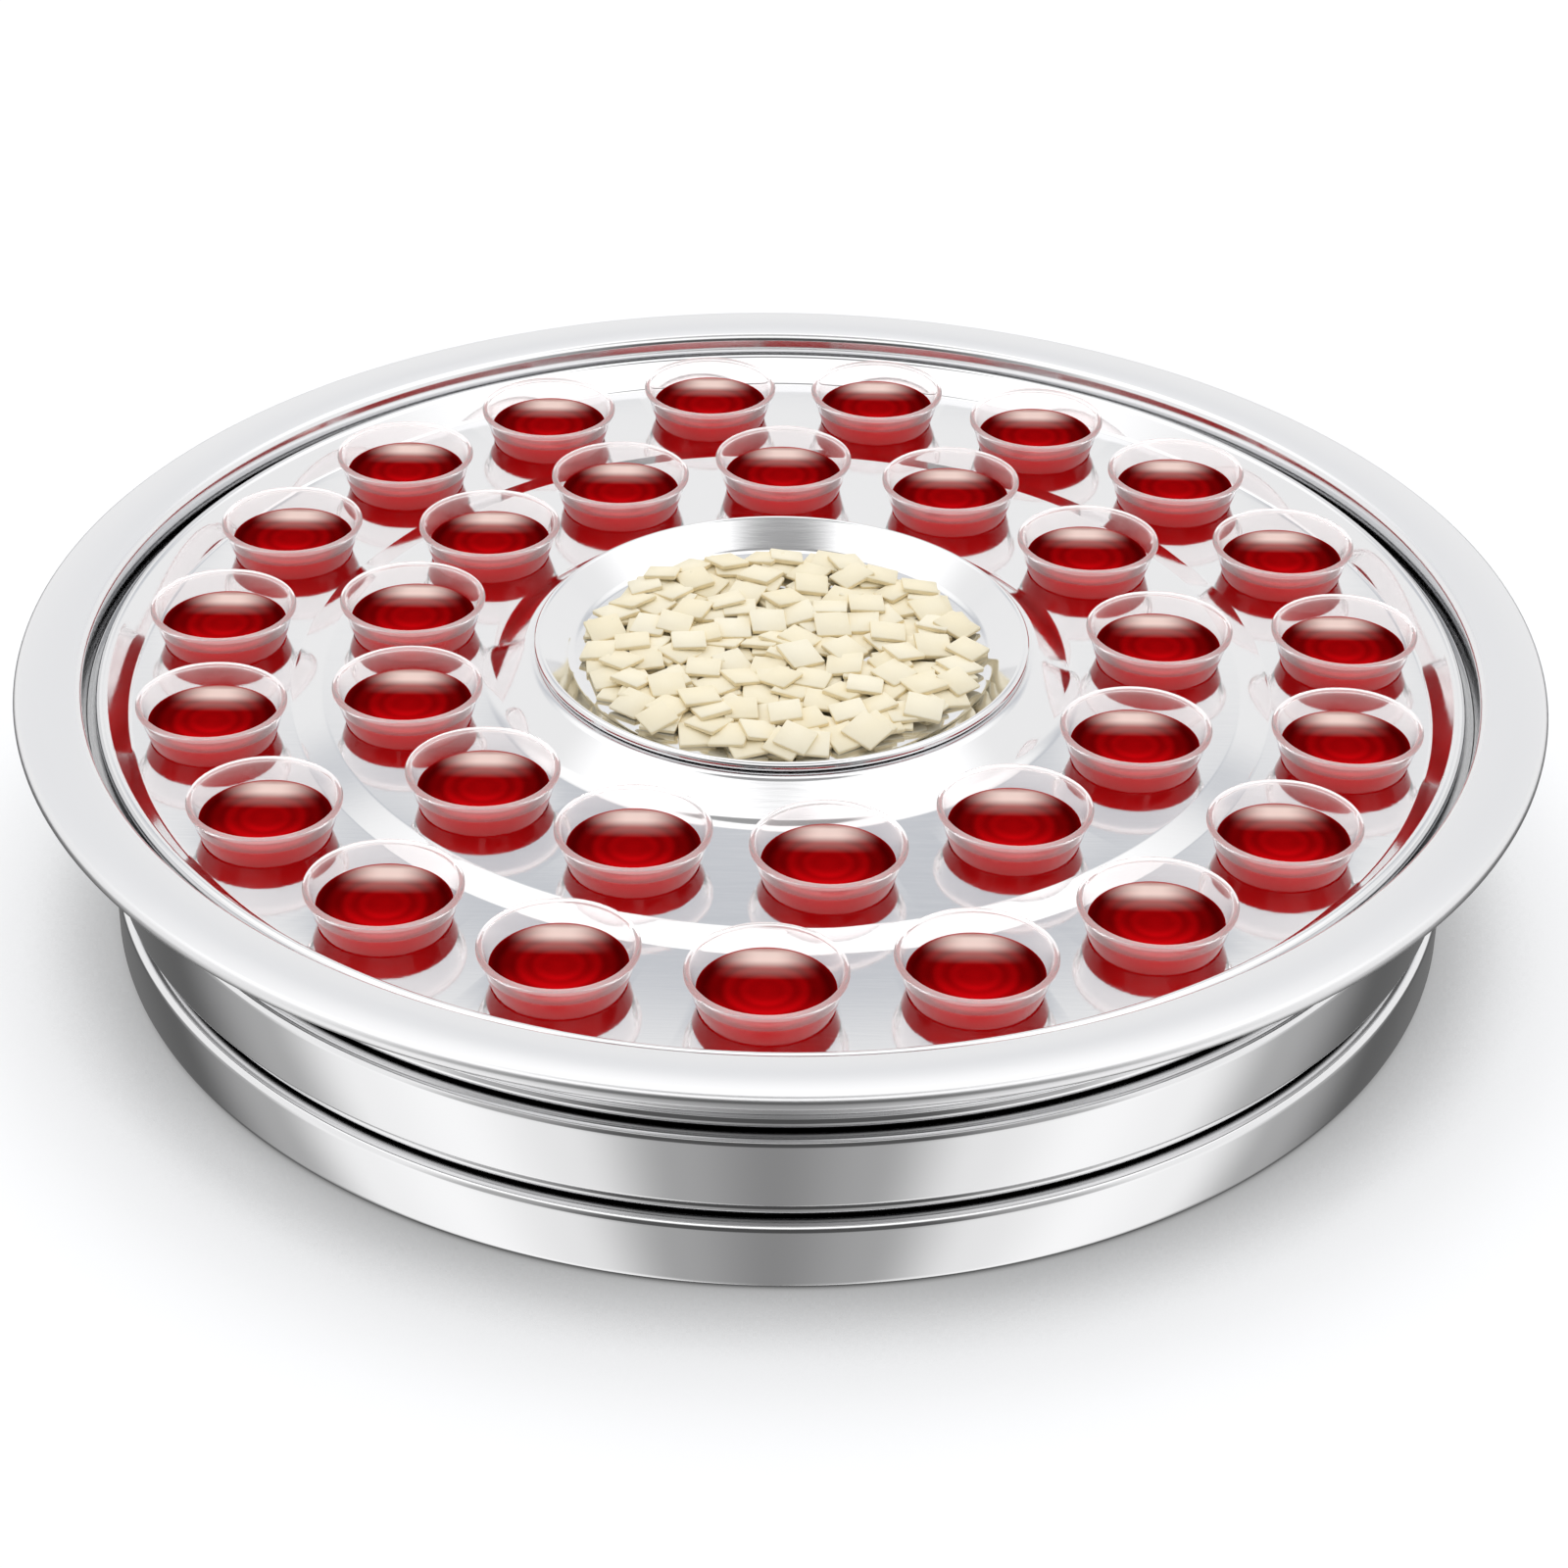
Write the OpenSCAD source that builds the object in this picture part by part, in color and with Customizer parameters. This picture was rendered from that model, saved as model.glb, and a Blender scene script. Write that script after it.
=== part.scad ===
// Communion cup tray: pressed steel stack, lift-in cup plate, bread dish and clear cups.
// The origin is the centre of the base's underside, +Z is up, sizes are in millimetres.

/* [Sheet and clearances] */
// Thickness of the pressed steel sheet
sheet_t = 0.8; // [0.5:0.1:1.2]
// Gap left between faces that rest on each other
seat_gap = 0.1; // [0.05:0.05:0.3]
// Radial gap between a nested foot and the opening it drops into
nest_gap = 0.3; // [0.2:0.05:0.8]
// Radial gap between a cup and its hole
cup_gap = 0.25; // [0.15:0.05:0.6]

/* [Rim] */
// Diameter of the tray across its rolled lip
tray_d = 320; // [290:1:350]
// Width of the rim, from the lip to the edge of the well
rim_w = 13.5; // [10:0.5:18]
// How far the rim is crowned above a flat ring
rim_crown = 0.6; // [0.2:0.1:1.5]
// Diameter of the rolled lip
lip_d = 3.2; // [2.4:0.1:4.5]
// Depth of the groove between the rim and the cup plate
groove_h = 6.2; // [5:0.1:8]
// Width of the groove's floor, which carries the cup plate
groove_w = 5.5; // [5:0.1:7]
// How far the groove's outer wall leans in
groove_lean = 0.8; // [0.2:0.1:1.5]

/* [Stack] */
// Height of the base, to the top of its ledge
base_h = 15.2; // [12:0.1:22]
// Height of the stacking ring, from its foot to the top of its ledge
ring_h = 20; // [15:0.1:28]
// Height of the tray's neck, from its foot to the groove's floor
neck_h = 16.6; // [13:0.1:24]
// Width of the ledge that carries the part above
ledge_w = 4.8; // [3.8:0.1:6]
// How far the nested lip lies inside the neck
foot_in = 3.5; // [3:0.1:5]
// Width of the step that a foot rests on
foot_step = 1.7; // [1.4:0.1:2.2]
// Height of the foot, where the wall starts to draw in
foot_h = 5.2; // [4.6:0.1:7]
// How far the foot's bead stands proud
foot_bead = 0.7; // [0.3:0.1:1]
// Depth that a nested lip reaches into an opening
nest_h = 3; // [2:0.1:5]
// Radius of the bands' rounded shoulder
shoulder_f = 1.4; // [0.8:0.1:2.5]
// Radius of the base's bottom edge
base_f = 1.8; // [1:0.1:3]
// Room between the cups and the floor of the well
floor_gap = 3; // [1.5:0.1:6]
// How far the well draws in towards its floor
well_draft = 1.6; // [0.5:0.1:4]
// Radius between the well's wall and its floor
well_f = 4; // [2:0.1:8]

/* [Cup plate] */
// Diameter of the plate's rolled edge
bead_d = 3; // [2.4:0.1:4]
// Clear width between the rolled edge and the groove's outer wall
bead_room = 1.8; // [1:0.1:2.2]
// Drop from the top of the rolled edge to the outer track
deck_drop = 5.4; // [4.6:0.1:9]
// How far the plate's wall runs in from the rolled edge
wall_run = 5; // [4.5:0.1:7]
// Height of the inner track above the outer track
track_step = 1.6; // [0.8:0.1:3]
// Width of the step's slope
step_w = 6.4; // [4:0.1:9]
// Gap between the outer cups' lips and the foot of the plate's wall
lip_gap = 1.5; // [0.5:0.1:6]
// Gap between the cups' lips and the step, on both of its sides
step_gap = 1.2; // [0.5:0.1:5]
// Gap between the inner cups' lips and the foot of the raised ring
riser_gap = 3.2; // [1:0.1:8]
// Width of the raised ring's slope
riser_w = 8; // [7:0.1:12]
// Height of the raised ring above the inner track
riser_h = 6.5; // [5:0.1:9]
// Depth of the turned-down edge in the raised ring
lip_drop = 2.2; // [1.6:0.1:3.5]

/* [Bread dish] */
// How far the dish's rim lies inside the top of the raised ring's slope
dish_in = 1.3; // [0.8:0.1:4]
// Diameter of the dish's rolled rim
dish_bead_d = 2; // [1.8:0.1:2.6]
// Depth of the dish below its rim
dish_depth = 5.1; // [3.6:0.1:7]
// How far the dish's wall runs in
dish_run = 6.6; // [4:0.1:10]
// Side of a bread square
bread_w = 7.6; // [5:0.1:10]
// Thickness of a bread square
bread_t = 1.5; // [1:0.1:3]
// Gap between neighbouring bread squares
bread_gap = 0.5; // [0.2:0.1:1.5]
// Number of layers in the heap
bread_layers = 3; // [1:1:4]

/* [Cups] */
// Number of cups in the outer track
outer_cups = 19; // [12:1:20]
// Direction of the first outer cup
outer_start = 269.1; // [0:0.1:360]
// Number of cups in the inner track
inner_cups = 13; // [8:1:14]
// Direction of the first inner cup
inner_start = 86.6; // [0:0.1:360]
// Share of the gap between the inner cups that is given up at the back
inner_crowd = 0.32; // [0:0.01:0.8]
// Diameter of a cup across its rim
cup_d = 31; // [28:0.1:34]
// Diameter of a cup below its flared lip
cup_neck_d = 25.4; // [22:0.1:28]
// Diameter of a cup's foot
cup_foot_d = 20.6; // [17:0.1:23]
// Height of a cup
cup_h = 35; // [28:0.1:40]
// Height of the flared lip
flare_h = 8.6; // [4:0.1:12]
// Wall of a cup
cup_t = 0.7; // [0.5:0.1:1.2]
// Diameter of the bead round a cup's rim
cup_bead_d = 1.1; // [0.9:0.1:1.6]
// How far a cup stands above the plate
cup_proud = 8.5; // [7:0.1:12]

/* [Bends] */
// Radius of the small bends in the sheet
bend_f = 0.7; // [0.65:0.05:0.8]
// Radius of the crown along the middle of the rim
crown_f = 30; // [15:1:60]
// Radius at the edge of the well
well_edge_f = 1.3; // [0.8:0.1:2]
// Radius between the well's nested lip and its wall
well_step_f = 3; // [1.5:0.1:5]
// Radius at the foot of the plate's wall
wall_f = 1.6; // [1:0.1:2.4]
// Radius of the bends in the step between the tracks
step_f = 2.4; // [1.2:0.1:3.5]
// Radius at the foot of the raised ring
riser_f = 5; // [2.5:0.1:6]
// Radius at the top of the raised ring
crest_f = 2; // [1:0.1:2.4]
// Radius between the dish's wall and its floor
dish_f = 3; // [1.5:0.1:5]
// Radius of the bend under a cup's flared lip
flare_f = 6; // [3:0.5:9]
// Radius between a cup's wall and its floor
cup_floor_f = 1.5; // [0.8:0.1:3]

/* [Hidden] */
$fn = 96;
// Segments in one rounded corner
arc_steps = 6;
half_t = sheet_t / 2;
// Heights of a foot's waist and bead, as shares of the foot's height
waist_share = 0.56;
foot_bead_share = 0.32;
// How far a rolled edge reaches in over its own middle, as a share of the roll
plate_roll_share = 0.45;
dish_roll_share = 0.3;
// How much smaller, and how far turned, each layer of bread is
layer_shrink = 0.22;
layer_start = 12;
layer_turn = 32;

// Radii, from the lip inwards
rim_r = tray_d / 2;
well_edge_r = rim_r - rim_w;
neck_r = well_edge_r - groove_w;
nest_r = neck_r - foot_in;
foot_r = nest_r + foot_step;
opening_r = nest_r + nest_gap;
band_r = opening_r + ledge_w;
well_r = nest_r - sheet_t - nest_gap;
bead_r = well_edge_r - groove_lean - half_t - bead_room;
bead_c = bead_r - bead_d / 2;
wall_foot_r = bead_c - wall_run;
cup_r = cup_d / 2;
outer_r = wall_foot_r - lip_gap - cup_r;
step_r = outer_r - cup_r - step_gap - step_w / 2;
inner_r = step_r - step_w / 2 - step_gap - cup_r;
riser_r = inner_r - cup_r - riser_gap;
crest_r = riser_r - riser_w;
dish_r = crest_r - dish_in;
dish_c = dish_r - dish_bead_d / 2;
dish_floor_r = dish_c - dish_run;
dish_open_r = dish_c - dish_bead_d / 2;

// Heights, from the table upwards
ring_z = base_h + seat_gap;
tray_z = ring_z + ring_h + seat_gap;
seat_z = tray_z + neck_h;
rim_z = seat_z + groove_h;
bead_z = seat_z + seat_gap;
deck_z = bead_z + bead_d - deck_drop;
track_z = deck_z + track_step;
crest_z = track_z + riser_h;
dish_z = crest_z + seat_gap;
dish_rim_z = dish_z + dish_bead_d;
bread_z = dish_rim_z - dish_depth + seat_gap;
well_floor_z = deck_z + cup_proud - cup_h - floor_gap;

// Cup sizes that the holes follow
cup_neck_r = cup_neck_d / 2;
cup_foot_r = cup_foot_d / 2;
cup_bead_r = cup_bead_d / 2;
cup_taper = (cup_neck_r - cup_foot_r) / (cup_h - flare_h);
cup_flare = (cup_r - cup_bead_r + cup_t / 2 - cup_neck_r) / (flare_h - cup_bead_r);
cup_seat_r = cup_neck_r + (flare_h - cup_proud) * (cup_proud < flare_h ? cup_flare : cup_taper);
hole_r = cup_seat_r + cup_gap;

function two(i) = i < 10 ? str("0", i) : str(i);
function cup_name(track, i) = str("cup_", track, "_", two(i));

// Cup places: the outer ring is even, the inner one is a little closer at the back than at the front
inner_free = 360 / inner_cups - 2 * asin(cup_r / inner_r);
inner_sway = inner_crowd * inner_free * inner_cups / (2 * PI);
function outer_angle(i) = outer_start - 360 * (i - 1) / outer_cups;
function inner_angle(i) =
    let (even = inner_start - 360 * (i - 1) / inner_cups)
    even + inner_sway * sin(even);
function on_ring(r, a) = [r * cos(a), r * sin(a)];

// Sheet profiles: a list of corners [radius, height, fillet] along the middle of the sheet
function flat(c) = [c[0], c[1]];
function unit(v) = v / norm(v);
function turned(v) = [-v[1], v[0]];

// Points of the arc that rounds the corner b between a and c with radius f
function fillet(a, b, c, f) =
    let (
        u = unit(a - b),
        v = unit(c - b),
        half = acos(max(-1, min(1, u * v))) / 2,
        centre = b + unit(u + v) * f / sin(half),
        from = b + u * f / tan(half) - centre,
        to = b + v * f / tan(half) - centre,
        start = atan2(from[1], from[0]),
        turn = (atan2(to[1], to[0]) - start + 540) % 360 - 180
    )
    [for (i = [0:arc_steps])
        let (angle = start + turn * i / arc_steps)
        centre + f * [cos(angle), sin(angle)]];

function rounded(p) = [
    for (i = [0:len(p) - 1])
        each (i == 0 || i == len(p) - 1 ? [flat(p[i])]
            : fillet(flat(p[i - 1]), flat(p[i]), flat(p[i + 1]), p[i][2]))
];

// The same corners moved d to the left of the path, with fillets that stay concentric
function moved(p, d) = [
    for (i = [0:len(p) - 1])
        let (
            last = len(p) - 1,
            into = unit(flat(p[max(i, 1)]) - flat(p[max(i, 1) - 1])),
            out = unit(flat(p[min(i, last - 1) + 1]) - flat(p[min(i, last - 1)])),
            shift = (turned(into) + turned(out)) * d / (1 + into * out),
            bend = into[0] * out[1] - into[1] * out[0]
        )
        [p[i][0] + shift[0], p[i][1] + shift[1], bend > 0 ? p[i][2] - d : p[i][2] + d]
];

function reversed(p) = [for (i = [len(p) - 1:-1:0]) p[i]];

module sheet(corners, thickness = sheet_t) {
    rotate_extrude()
        polygon(concat(
            rounded(moved(corners, thickness / 2)),
            reversed(rounded(moved(corners, -thickness / 2)))
        ));
}

// Ledge and shoulder at the top of a band
function band_top(z) = [
    [opening_r + half_t, z - nest_h, 0],
    [opening_r + half_t, z - half_t, bend_f],
    [band_r - half_t, z - half_t, shoulder_f]
];

// Foot of a wall of radius r at height z: a waist, a bead and the step in to the nested lip
function beaded_foot(r, z) = [
    [r, z + foot_h, bend_f],
    [foot_r - half_t, z + foot_h * waist_share, bend_f],
    [foot_r - half_t + foot_bead, z + foot_h * foot_bead_share, bend_f],
    [foot_r - half_t, z + half_t, bend_f],
    [nest_r - half_t, z + half_t, bend_f]
];

module base_pan() color("silver") sheet(concat(band_top(base_h), [
    [band_r - half_t, half_t, base_f],
    [0, half_t, 0]
]));

module stacking_ring() color("silver") sheet(concat(
    band_top(ring_z + ring_h),
    beaded_foot(band_r - half_t, ring_z),
    [[nest_r - half_t, ring_z - nest_h, 0]]
));

module tray_pan() color("gainsboro") sheet(concat(
    [
        [rim_r - lip_d, rim_z - lip_d + half_t, 0],
        [rim_r - half_t, rim_z - lip_d + half_t, lip_d / 2 - half_t],
        [rim_r - half_t, rim_z - half_t, lip_d / 2 - half_t],
        [rim_r - rim_w / 2, rim_z - half_t + rim_crown, crown_f],
        [well_edge_r, rim_z - half_t, well_edge_f],
        [well_edge_r - groove_lean, seat_z - half_t, bend_f],
        [neck_r - half_t, seat_z - half_t, bend_f]
    ],
    beaded_foot(neck_r - half_t, tray_z),
    [
        [nest_r - half_t, tray_z - nest_h, well_step_f],
        [well_r - half_t, tray_z - 2 * nest_h, well_step_f],
        [well_r - half_t - well_draft, well_floor_z - half_t, well_f],
        [0, well_floor_z - half_t, 0]
    ]
));

module plate_sheet() {
    roll = bead_d / 2 - half_t;
    sheet([
        [bead_c, bead_z + half_t, 0],
        [bead_r - half_t, bead_z + half_t, roll],
        [bead_r - half_t, bead_z + bead_d - half_t, roll],
        [bead_c - roll * plate_roll_share, bead_z + bead_d - half_t, roll],
        [wall_foot_r, deck_z - half_t, wall_f],
        [step_r + step_w / 2, deck_z - half_t, step_f],
        [step_r - step_w / 2, track_z - half_t, step_f],
        [riser_r, track_z - half_t, riser_f],
        [crest_r, crest_z - half_t, crest_f],
        [dish_open_r + half_t, crest_z - half_t, bend_f],
        [dish_open_r + half_t, crest_z - half_t - lip_drop, 0]
    ]);
}

module hole_at(place, z)
    translate([place[0], place[1], z - 2 * sheet_t])
        cylinder(r = hole_r, h = 3 * sheet_t);

module cup_plate() color("gainsboro") difference() {
    // The sheet's seam lies at the first outer cup
    rotate(outer_angle(1)) plate_sheet();
    for (i = [1:outer_cups]) hole_at(on_ring(outer_r, outer_angle(i)), deck_z);
    for (i = [1:inner_cups]) hole_at(on_ring(inner_r, inner_angle(i)), track_z);
}

module bread_dish() color("gainsboro") {
    roll = dish_bead_d / 2 - half_t;
    floor_z = dish_rim_z - dish_depth - half_t;
    sheet([
        [dish_c, dish_z + half_t, 0],
        [dish_r - half_t, dish_z + half_t, roll],
        [dish_r - half_t, dish_rim_z - half_t, roll],
        [dish_c - roll * dish_roll_share, dish_rim_z - half_t, roll],
        [dish_floor_r, floor_z, dish_f],
        [0, floor_z, 0]
    ]);
}

// One layer of squares inside a circle of radius r, turned by a
module bread_layer(r, a) {
    pitch = bread_w + bread_gap;
    reach = r - bread_w / sqrt(2);
    count = ceil(r / pitch);
    rotate(a)
        for (x = [-count:count], y = [-count:count])
            if (norm([x, y]) * pitch < reach)
                translate([x * pitch - bread_w / 2, y * pitch - bread_w / 2, 0])
                    cube([bread_w, bread_w, bread_t]);
}

module bread_squares() color("cornsilk")
    for (k = [0:bread_layers - 1])
        translate([0, 0, bread_z + k * (bread_t + seat_gap)])
            bread_layer(dish_floor_r * (1 - layer_shrink * k), layer_start + layer_turn * k);

// A cup with its rim at height z
module cup(place, z) color("mistyrose", 0.5) translate([place[0], place[1], z]) {
    half = cup_t / 2;
    sheet([
        [cup_r - cup_bead_r, -cup_bead_r, 0],
        [cup_neck_r - half, -flare_h, flare_f],
        [cup_foot_r - half, -cup_h + half, cup_floor_f],
        [0, -cup_h + half, 0]
    ], cup_t);
    rotate_extrude()
        translate([cup_r - cup_bead_r, -cup_bead_r])
            circle(r = cup_bead_r);
}

module cup_outer(i) cup(on_ring(outer_r, outer_angle(i)), deck_z + cup_proud);
module cup_inner(i) cup(on_ring(inner_r, inner_angle(i)), track_z + cup_proud);

base_pan();
stacking_ring();
tray_pan();
cup_plate();
bread_dish();
bread_squares();
for (i = [1:outer_cups]) cup_outer(i);
for (i = [1:inner_cups]) cup_inner(i);
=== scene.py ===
"""Looks of a communion cup tray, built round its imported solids."""

import math
import random

import bmesh
import bpy
from mathutils import Matrix, Vector


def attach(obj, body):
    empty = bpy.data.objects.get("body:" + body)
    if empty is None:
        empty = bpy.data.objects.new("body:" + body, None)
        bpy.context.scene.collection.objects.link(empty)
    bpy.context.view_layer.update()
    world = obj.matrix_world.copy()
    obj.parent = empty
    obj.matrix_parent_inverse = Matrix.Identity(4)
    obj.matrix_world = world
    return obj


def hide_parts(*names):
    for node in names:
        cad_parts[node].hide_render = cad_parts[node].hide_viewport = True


bl_info = {
    "name": "Communion Cup Tray",
    "version": (1, 0, 0),
    "blender": (4, 5, 0),
    "location": "3D View > Sidebar > Tray",
    "description": "Dresses the packed solids of a polished steel cup tray with its cups, drink and bread",
    "category": "Add Mesh",
}

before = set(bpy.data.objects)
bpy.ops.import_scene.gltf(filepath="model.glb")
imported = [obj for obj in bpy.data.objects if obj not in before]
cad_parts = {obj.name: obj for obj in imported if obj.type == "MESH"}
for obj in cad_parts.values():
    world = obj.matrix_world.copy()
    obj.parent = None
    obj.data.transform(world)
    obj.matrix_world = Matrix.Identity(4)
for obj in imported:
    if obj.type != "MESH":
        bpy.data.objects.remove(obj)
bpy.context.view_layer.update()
MM = 0.001

# Radii of the pressed stack, in millimetres, as the solids have them
RIM_R, WELL_EDGE_R, NECK_R, NEST_R, FOOT_R, BAND_R = 160, 146.5, 141, 137.5, 139.2, 142.6
OPENING_R, WELL_R, BEAD_R, BEAD_C, WALL_FOOT_R = 137.8, 136.4, 143.5, 142, 137
STEP_OUT_R, STEP_IN_R, RISER_R, CREST_R = 103.3, 96.9, 61.5, 53.5
DISH_R, DISH_C, DISH_OPEN_R, DISH_FLOOR_R = 52.2, 51.2, 50.2, 44.6
# Heights above the table, in millimetres
BASE_TOP, RING_Z, RING_TOP, TRAY_Z, SEAT_Z, RIM_Z = 15.2, 15.3, 35.3, 35.4, 52, 58.2
BEAD_Z, BEAD_TOP, DECK_Z, TRACK_Z, CREST_Z = 52.1, 55.1, 49.7, 51.3, 57.8
DISH_Z, DISH_TOP, DISH_FLOOR_Z, WELL_FLOOR_Z = 57.9, 59.9, 54.8, 20.2
NEST_H, WELL_DRAFT, HALF_SHEET = 3, 1.6, 0.4
# Folds: the common bend, the shoulders of the bands and the bead at the foot of a wall
BEND, SHOULDER_ROUND, BASE_ROUND = 0.7, 1.4, 1.8
WAIST_H, FOOT_BEAD_TOP, FOOT_BEAD_MID, FOOT_BEAD_OUT = 5.2, 2.91, 1.66, 0.7
# Folds of the tray: the hem under its rim, the rim's crown and the well
HEM_W, HEM_H, HEM_ROUND = 3.2, 2.8, 1.2
CROWN_IN, CROWN_UP, CROWN_ROUND = 6.75, 0.2, 30
WELL_EDGE_ROUND, WELL_LEAN, NEST_ROUND, WELL_ROUND = 1.3, 0.8, 3, 4
# Folds of the plate and the dish. A tuck is how far a rolled edge goes past its middle
PLATE_ROLL, PLATE_TUCK, WALL_FOOT_ROUND, STEP_ROUND = 1.1, 0.495, 1.6, 2.4
RISER_ROUND, CREST_ROUND, SKIRT_H, PUNCH_H = 5, 2, 2.2, 3
DISH_ROLL, DISH_TUCK, DISH_ROUND = 0.6, 0.18, 3

# Cups: the outer track is even, the inner one is a little closer at the back
OUTER_CUPS, OUTER_R, OUTER_START = 19, 120, 269.1
INNER_CUPS, INNER_R, INNER_START, INNER_CROWD = 13, 80.2, 86.6, 3.58
HOLE_R, CUP_PROUD = 12.98, 8.5
CUP_R, CUP_NECK_R, CUP_FOOT_R, CUP_H, FLARE_H = 15.5, 12.7, 10.3, 35, 8.6
# A cup's wall below its rim: the foot of the lip, the clouded band and where the wall is clear
LIP_DEPTH, CLOUDED_DEPTH, CLEAR_DEPTH = 1.1, 1.4, 4.9
OUT_LIP, OUT_CLOUDED, OUT_CLEAR = 0.38, 0.47, 1.6
IN_LIP, IN_CLOUDED, IN_CLEAR = 1.1, 1.48, 2.46
FOOT_ROUND, FOOT_ROUND_IN, NECK_ROUND, NECK_ROUND_IN = 1.8, 1.1, 6, 5.3
LIP_CREASE, LIP_ROUND_LOW, LIP_ROUND_OUT, LIP_ROUND_IN = 0.05, 0.3, 0.5, 0.45
CLOUDED = 0.3
# The drink reaches a little into the wall, so that no air shows between them, and climbs it at the brim
SOAK, CLIMB, CLIMB_ROUND, SURFACE_SLACK = 0.08, 0.45, 0.8, 0.1

ROUND_STEPS = 256
CUP_STEPS = 64
WELD = 0.001
SHARP_ANGLE = math.radians(38)
BREAD_SHARP_ANGLE = math.radians(60)

# The camera of the photograph, fitted to the tray's rims: focal length in pixels, angles in degrees
SENSOR_MM, PHOTO_PX, FOCAL_PX = 36, 1600, 3899.7
CAMERA_PITCH, CAMERA_YAW, CAMERA_ROLL = 32.552, 0.077, 0.89
CAMERA_PLACE = (0, -0.69642, 0.46666)
FLOOR_HALF = 6

# Brightness of the studio tent: the first two run round the half turn from the front, 0, to the back, 1
TENT_LOW = [
    (0.0, 0.28), (0.09, 0.42), (0.19, 0.95), (0.30, 1.15), (0.40, 1.06),
    (0.52, 0.46), (0.68, 0.13), (0.84, 0.17), (1.0, 0.22),
]
TENT_SIDES = [(0.0, 0.08), (0.12, 0.10), (0.24, 0.45), (0.34, 1.0), (1.0, 1.0)]
# These two run up from the horizon, 0, to right above, 1. The roof panels have a dull gap right above
TENT_BACK = [(0.0, 1.0), (0.50, 1.0), (0.59, (0.64, 0.66, 0.70, 1)), (0.68, 1.0), (1.0, 1.0)]
TENT_ROOF = [(0.0, 1.4), (0.952, 1.4), (0.975, 0.4), (1.0, 0.4)]

# Painted light in the drink: rings from its middle to its wall, then painted shade from front to back and
# towards a side, and a painted gleam on the far side
DRINK_RINGS = [
    (0.0, 0.9), (0.2, 0.82), (0.32, 1.0), (0.42, 0.72), (0.55, 1.0),
    (0.66, 0.6), (0.78, 0.9), (0.9, 0.5), (1.0, 0.9),
]
DRINK_LENGTHWAYS = [(0.0, 1.0), (0.25, 0.9), (0.5, 0.52), (0.7, 0.45), (1.0, 0.6)]
DRINK_SIDEWAYS = [(0.0, 1.0), (0.5, 0.85), (0.85, 0.38), (1.0, 0.35)]
GLEAM_LENGTHWAYS = [(0.62, 0.0), (0.75, 0.15), (0.88, 0.9), (0.95, 0.95), (1.0, 0.5)]
GLEAM_SIDEWAYS = [(0.1, 1.0), (0.8, 0.0)]
# Painted shade by how open a place is to the sky: in the steel's folds, and a painted shadow on the floor
# under the tray
FOLD_SHADE = [(0.0, 0.02), (0.35, 0.12), (0.7, 1.0)]
FLOOR_SHADOW = [(0.0, 0.1), (0.45, 0.45), (0.72, 0.9), (1.0, 1.0)]


class TraySizes(bpy.types.PropertyGroup):
    """Sizes of the sheet, the cups, the drink and the bread"""

    sheet: bpy.props.FloatProperty(
        name="Sheet", description="Thickness of the pressed steel",
        default=0.8 * MM, subtype="DISTANCE", unit="LENGTH",
    )
    cup_wall: bpy.props.FloatProperty(
        name="Cup wall", description="Thickness of a cup's wall",
        default=0.7 * MM, subtype="DISTANCE", unit="LENGTH",
    )
    drink_drop: bpy.props.FloatProperty(
        name="Drink level", description="Depth of the drink below a cup's rim",
        default=4.9 * MM, subtype="DISTANCE", unit="LENGTH",
    )
    bread_side: bpy.props.FloatProperty(
        name="Bread side", description="Side of a bread square",
        default=7.1 * MM, subtype="DISTANCE", unit="LENGTH",
    )
    bread_thick: bpy.props.FloatProperty(
        name="Bread thickness", description="Thickness of a bread square",
        default=1.05 * MM, subtype="DISTANCE", unit="LENGTH",
    )
    bread_count: bpy.props.IntProperty(
        name="Bread squares", description="Squares in the heap", default=205, min=20
    )
    bread_seed: bpy.props.IntProperty(
        name="Heap", description="Changes how the squares fall", default=7
    )


class TrayColours(bpy.types.PropertyGroup):
    """Colours of the finishes, as sRGB hex codes"""

    steel: bpy.props.StringProperty(
        name="Steel", description="Polished steel, sRGB hex", default="E9E9EA"
    )
    cup: bpy.props.StringProperty(
        name="Cup", description="Clear cup plastic, sRGB hex", default="FFFBFB"
    )
    drink: bpy.props.StringProperty(
        name="Drink", description="Drink, sRGB hex", default="D2060E"
    )
    crumb: bpy.props.StringProperty(
        name="Bread crumb", description="Faces of the bread, sRGB hex", default="FFF9E6"
    )
    crust: bpy.props.StringProperty(
        name="Bread crust", description="Cut edges of the bread, sRGB hex", default="EEDBAE"
    )
    floor: bpy.props.StringProperty(
        name="Floor", description="Studio floor, sRGB hex", default="8E9094"
    )


def linear(code):
    """An sRGB hex code as a linear colour."""
    shades = [int(code[i : i + 2], 16) / 255 for i in (0, 2, 4)]
    return tuple(s / 12.92 if s <= 0.04045 else ((s + 0.055) / 1.055) ** 2.4 for s in shades) + (1.0,)


def add(tree, kind, settings=(), links=()):
    """A new node with its settings and its incoming links. A ramp's stops are (place, grey or colour)."""
    node = tree.nodes.new(kind)
    for key, value in dict(settings).items():
        if key == "stops":
            points = node.color_ramp.elements
            while len(points) < len(value):
                points.new(0.5)
            for point, (place, shade) in zip(points, value):
                point.position = place
                point.color = shade if isinstance(shade, tuple) else (shade, shade, shade, 1)
        elif isinstance(key, int) or key in node.inputs:
            node.inputs[key].default_value = value
        else:
            setattr(node if hasattr(node, key) else node.color_ramp, key, value)
    for key, source in dict(links).items():
        tree.links.new(source, node.inputs[key])
    return node


def new_material(name):
    """An empty node material, with its output node."""
    material = bpy.data.materials.new(name)
    material.use_nodes = True
    material.node_tree.nodes.clear()
    return material, material.node_tree, add(material.node_tree, "ShaderNodeOutputMaterial")


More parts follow.
